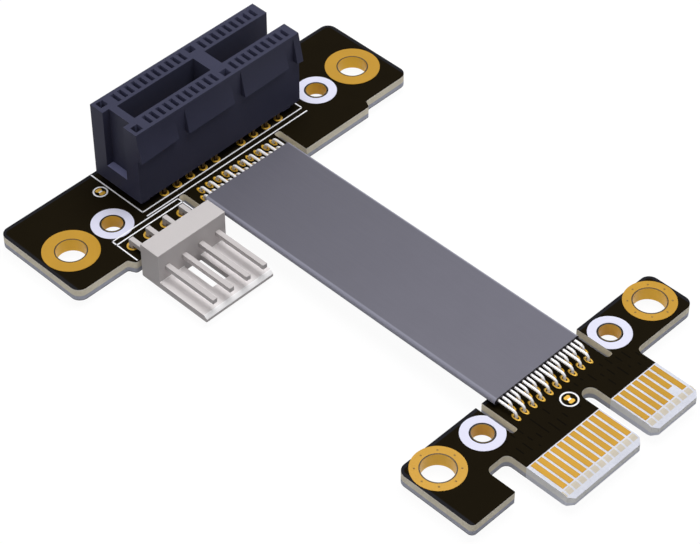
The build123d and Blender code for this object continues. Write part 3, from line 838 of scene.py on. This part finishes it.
def make_jumper(board):
    """A solder jumper: two lobes, the strip between them and the printed circle."""
    x, y, radius = JUMPERS[board]
    name = board + "_jumper"
    lobes = [plate(x, y + side * LOBE_OFFSET, *LOBE) for side in (-1, 1)]
    settle(join_pieces(name + "_lobes", lobes), "pad", "gold", name + "_pads")
    settle(join_pieces(name + "_strip", [plate(x, y, *STRIP)]), "tin", "tin")
    circle = {"Thickness": 0.002 * MM, "Stretch": 1.0, "Outer": (radius + CIRCLE_OUT) * MM,
              "Hole": (radius - CIRCLE_IN) * MM}
    settle(grow(name + "_circle", pad_tree("line ink"), circle, [(x, y, CIRCLE_Z)]),
           "line ink", "ink")


class ExtensionLook(bpy.types.PropertyGroup):
    """Colours and sizes of the dressed part."""

    ring_gold: FloatVectorProperty(
        name="Ring gold", description="Colour of the plated rings", subtype="COLOR", size=4,
        min=0.0, max=1.0, default=rgb(187, 139, 16))
    finger_gold: FloatVectorProperty(
        name="Finger gold", description="Colour of the contact fingers", subtype="COLOR",
        size=4, min=0.0, max=1.0, default=rgb(178, 132, 10))
    housing_colour: FloatVectorProperty(
        name="Slot body", description="Colour of the moulded slot", subtype="COLOR", size=4,
        min=0.0, max=1.0, default=rgb(58, 59, 78))
    header_colour: FloatVectorProperty(
        name="Header", description="Colour of the power header", subtype="COLOR", size=4,
        min=0.0, max=1.0, default=rgb(200, 195, 195))
    jacket_colour: FloatVectorProperty(
        name="Jacket", description="Colour of the flat cable", subtype="COLOR", size=4,
        min=0.0, max=1.0, default=rgb(101, 100, 111))
    housing_edge: FloatProperty(
        name="Slot edge radius", description="Rounding of the slot body's edges",
        subtype="DISTANCE", unit="LENGTH", default=0.00008, min=0.0)
    wire_radius: FloatProperty(
        name="Wire radius", description="Radius of one wire", subtype="DISTANCE",
        unit="LENGTH", default=0.00017, min=0.0)
    wire_bend: FloatProperty(
        name="Wire bend", description="Radius of a wire's bends", subtype="DISTANCE",
        unit="LENGTH", default=0.00055, min=0.0)
    wire_pitch: FloatProperty(
        name="Wire pitch", description="Distance between neighbouring wires",
        subtype="DISTANCE", unit="LENGTH", default=0.000635, min=0.0)
    wire_count: IntProperty(
        name="Wires", description="Number of wires in the cable", default=20, min=2)


class FINISH_OT_make(bpy.types.Operator):
    """Makes every finish of the part"""

    bl_idname = "extension.make_finishes"
    bl_label = "Make finishes"

    def execute(self, context):
        FINISHES.update(build_finishes(context.scene.extension_look))
        return {"FINISHED"}


class BOARDS_OT_make(bpy.types.Operator):
    """Dresses both boards with their plating, fingers and printing"""

    bl_idname = "extension.make_boards"
    bl_label = "Boards"

    def execute(self, context):
        for board in ("slot", "plug"):
            dress(board + "_board", "board")
            dress(board + "_mount_plating", "plating")
            dress(board + "_guide_plating", "barrel")
            dress(board + "_jumper_pads", "ring gold")
            dress(board + "_printing", "ink")
        for face in ("top", "bottom"):
            dress("plug_fingers_" + face, "finger gold")
        return {"FINISHED"}


class PADS_OT_make(bpy.types.Operator):
    """Makes the round and oval pads and the small vias round the plug board's holes"""

    bl_idname = "extension.make_pads"
    bl_label = "Pads and vias"

    def execute(self, context):
        look = context.scene.extension_look
        tree = pad_tree("pad")
        top = FOIL / 2
        low = BOARD_BOTTOM - FOIL / 2
        for name, node, sizes, spots in (
                ("terminal_rings", "slot_terminal_pads", TERMINAL_RING, contact_places),
                ("header_rings", "header_pads", HEADER_RING, header_places)):
            above, below, bore = sizes
            ring = {"Thickness": FOIL * MM, "Stretch": 1.0, "Hole": bore * MM}
            settle(grow(name, tree, {**ring, "Outer": above * MM}, spots(top)), "pad", "gold",
                   node)
            settle(grow(name + "_below", tree, {**ring, "Outer": below * MM}, spots(low)),
                   "pad", "gold")
        oval = {**WIRE_OVAL, "Thickness": FOIL * MM}
        for board in WIRE_ROWS:
            settle(grow(board + "_wire_ovals", tree, oval, wire_places(look, board, top)), "pad",
                   "gold", board + "_cable_pads")
            settle(grow(board + "_wire_ovals_below", tree, oval, wire_places(look, board, low)),
                   "pad", "gold")
        settle(grow("ring_vias", pad_tree("via"), VIA, via_places()), "via", "gold")
        for board in JUMPERS:
            make_jumper(board)
        return {"FINISHED"}


class LINES_OT_make(bpy.types.Operator):
    """Makes the fine printed lines round the slot and the header"""

    bl_idname = "extension.make_lines"
    bl_label = "Printed lines"

    def execute(self, context):
        lines = [plate((x0 + x1) / 2, (y0 + y1) / 2, x1 - x0 + LINE_WIDTH, y1 - y0 + LINE_WIDTH,
                       LINE_HEIGHT, LINE_CORNER) for x0, x1, y0, y1 in LINES]
        settle(join_pieces("printed_lines", lines), "line ink", "ink")
        return {"FINISHED"}


class SOLDER_OT_make(bpy.types.Operator):
    """Makes the solder under both boards"""

    bl_idname = "extension.make_solder"
    bl_label = "Solder"

    def execute(self, context):
        look = context.scene.extension_look
        tree = solder_tree()
        z = BOARD_BOTTOM - FOIL
        for name, places, wide, narrow, depth, nodes in (
                ("slot_solder", contact_places(z), 0.56, 0.24, 0.72, ()),
                ("header_solder", header_places(z), 0.8, 0.44, 0.6, ()),
                ("slot_wire_solder", wire_places(look, "slot", z), 0.31, 0.19, 0.42, ()),
                ("plug_wire_solder", wire_places(look, "plug", z), 0.31, 0.19, 0.42,
                 ("plug_cable_joints",))):
            size = {"Wide": wide * MM, "Narrow": narrow * MM, "Depth": depth * MM}
            settle(grow(name, tree, size, places), "solder", "tin", *nodes)
        return {"FINISHED"}


class SLOT_OT_make(bpy.types.Operator):
    """Makes the slot body with rounded edges and dresses its contacts"""

    bl_idname = "extension.make_slot"
    bl_label = "Card slot"

    def execute(self, context):
        look = context.scene.extension_look
        body = merged_copy("slot_housing", "slot_body")
        soften(body, look.housing_edge / MM)
        even_normals(shade_smooth(body))
        settle(body, "navy", "navy_plastic", "slot_housing")
        for node in ("slot_contacts_front", "slot_contacts_rear"):
            dress(node, "contact")
        return {"FINISHED"}


class HEADER_OT_make(bpy.types.Operator):
    """Makes the power header's block with rounded edges and dresses its pins"""

    bl_idname = "extension.make_header"
    bl_label = "Power header"

    def execute(self, context):
        body = merged_copy("header_housing", "header_block")
        soften(body, 0.1)
        even_normals(shade_smooth(body))
        settle(body, "ivory", "ivory_plastic", "header_housing")
        dress("header_pins", "ivory")
        return {"FINISHED"}


class CABLE_OT_make(bpy.types.Operator):
    """Makes the flat jacket and its wires"""

    bl_idname = "extension.make_cable"
    bl_label = "Flat cable"

    def execute(self, context):
        look = context.scene.extension_look
        jacket = merged_copy("cable_jacket", "jacket")
        shade_smooth(jacket, 50.0)
        settle(jacket, "jacket", "grey_jacket", "cable_jacket")
        tree = wire_tree()
        half = (look.wire_count - 1) / 2 * look.wire_pitch
        rows = []
        for i, (slot_y, plug_y) in enumerate(zip(*WIRE_ROWS.values())):
            rows.append(grow("wire row", tree, {
                "Slot Pad Y": slot_y * MM, "Plug Pad Y": plug_y * MM, "Height": CABLE_Z * MM,
                "Low": WIRE_LOW_Z * MM, "First X": -half + i * look.wire_pitch,
                "Pitch": 2 * look.wire_pitch, "Count": look.wire_count // 2,
                "Radius": look.wire_radius, "Bend": look.wire_bend}))
        settle(join_pieces("wires", rows), "tin", "tin", "cable_wires")
        return {"FINISHED"}


class STAGE_OT_make(bpy.types.Operator):
    """Makes the floor, the lights, the surroundings and the camera"""

    bl_idname = "extension.make_stage"
    bl_label = "Stage"

    def execute(self, context):
        scene = context.scene
        scene.view_settings.view_transform = "Standard"
        make_floor()
        make_world(scene)
        make_lights()
        make_camera(scene)
        return {"FINISHED"}


def make_floor():
    """A wide pale floor at the height that the part rests on."""
    mesh = bpy.data.meshes.new("floor")
    z = CAD_BOX[0][2]
    turns = ((-1, -1), (1, -1), (1, 1), (-1, 1))
    mesh.from_pydata([(a * FLOOR_HALF, b * FLOOR_HALF, z) for a, b in turns], [], [(0, 1, 2, 3)])
    floor = placed("floor", mesh)
    material = bpy.data.materials.new("Floor")
    material.use_nodes = True
    tree = material.node_tree
    shader = tree.nodes["Principled BSDF"]
    shader.inputs["Roughness"].default_value = 0.9
    shader.inputs["Specular IOR Level"].default_value = 0.1
    shader.inputs["Base Color"].default_value = (0.4, 0.4, 0.41, 1)
    glow = add_node(tree, "ShaderNodeEmission")
    glow.inputs["Strength"].default_value = FLOOR_GLOW
    seen = calc(tree, "MULTIPLY", background_rays(tree), FLOOR_GLOW_SHARE)
    blend = add_node(tree, "ShaderNodeMixShader")
    tree.links.new(seen, blend.inputs[0])
    tree.links.new(shader.outputs[0], blend.inputs[1])
    tree.links.new(glow.outputs[0], blend.inputs[2])
    tree.links.new(blend.outputs[0], tree.nodes["Material Output"].inputs["Surface"])
    mesh.materials.append(material)


def make_world(scene):
    """Even surroundings, white to the camera and in reflections."""
    world = bpy.data.worlds.new("Surroundings")
    scene.world = world
    world.use_nodes = True
    tree = world.node_tree
    ground = tree.nodes["Background"]
    strength = calc(tree, "MULTIPLY_ADD", background_rays(tree), 1 - WORLD_LIGHT, WORLD_LIGHT)
    ground.inputs["Color"].default_value = (1, 1, 1, 1)
    tree.links.new(strength, ground.inputs["Strength"])


def make_lights():
    """Two soft lights: one above the plug's side and a weak one from the left."""
    for name, place, power, size in LAMPS:
        lamp = bpy.data.lights.new(name, "AREA")
        lamp.energy = power
        lamp.shape = "DISK"
        lamp.size = size
        holder = placed(name, lamp)
        holder.location = place
        aim = Vector(LAMP_TARGET) - Vector(place)
        holder.rotation_euler = aim.to_track_quat("-Z", "Y").to_euler()


def make_camera(scene):
    """The camera at the photograph's place."""
    azimuth = math.radians(CAMERA_AZIMUTH)
    elevation = math.radians(CAMERA_ELEVATION)
    back = Vector((math.sin(azimuth) * math.cos(elevation),
                   -math.cos(azimuth) * math.cos(elevation), math.sin(elevation)))
    lens = bpy.data.cameras.new("camera")
    lens.lens = CAMERA_LENS
    lens.sensor_width = 36.0
    lens.clip_start = 0.01
    lens.clip_end = 10.0
    camera = placed("camera", lens)
    camera.location = Vector(CAMERA_TARGET) + back * CAMERA_DISTANCE
    camera.rotation_euler = back.to_track_quat("Z", "Y").to_euler()
    scene.camera = camera


class EXTENSION_PT_panel(bpy.types.Panel):
    """Lists the pieces of the extension cable"""

    bl_label = "Extension cable"
    bl_space_type = "VIEW_3D"
    bl_region_type = "UI"
    bl_category = "Extension"

    def draw(self, context):
        for name in ExtensionLook.__annotations__:
            self.layout.prop(context.scene.extension_look, name)
        for maker in OPERATORS:
            self.layout.operator(maker.bl_idname)


OPERATORS = (FINISH_OT_make, BOARDS_OT_make, PADS_OT_make, LINES_OT_make, SLOT_OT_make,
             HEADER_OT_make, CABLE_OT_make, SOLDER_OT_make, STAGE_OT_make)
CLASSES = (ExtensionLook, *OPERATORS, EXTENSION_PT_panel)


def register():
    """Makes the add-on's classes known to Blender."""
    for item in CLASSES:
        bpy.utils.register_class(item)
    bpy.types.Scene.extension_look = PointerProperty(type=ExtensionLook)


def unregister():
    """Takes the add-on's classes away again."""
    del bpy.types.Scene.extension_look
    for item in reversed(CLASSES):
        bpy.utils.unregister_class(item)


def main():
    """Makes the whole scene in order."""
    register()
    for maker in OPERATORS:
        family, action = maker.bl_idname.split(".")
        getattr(getattr(bpy.ops, family), action)()


if __name__ == "__main__":
    main()
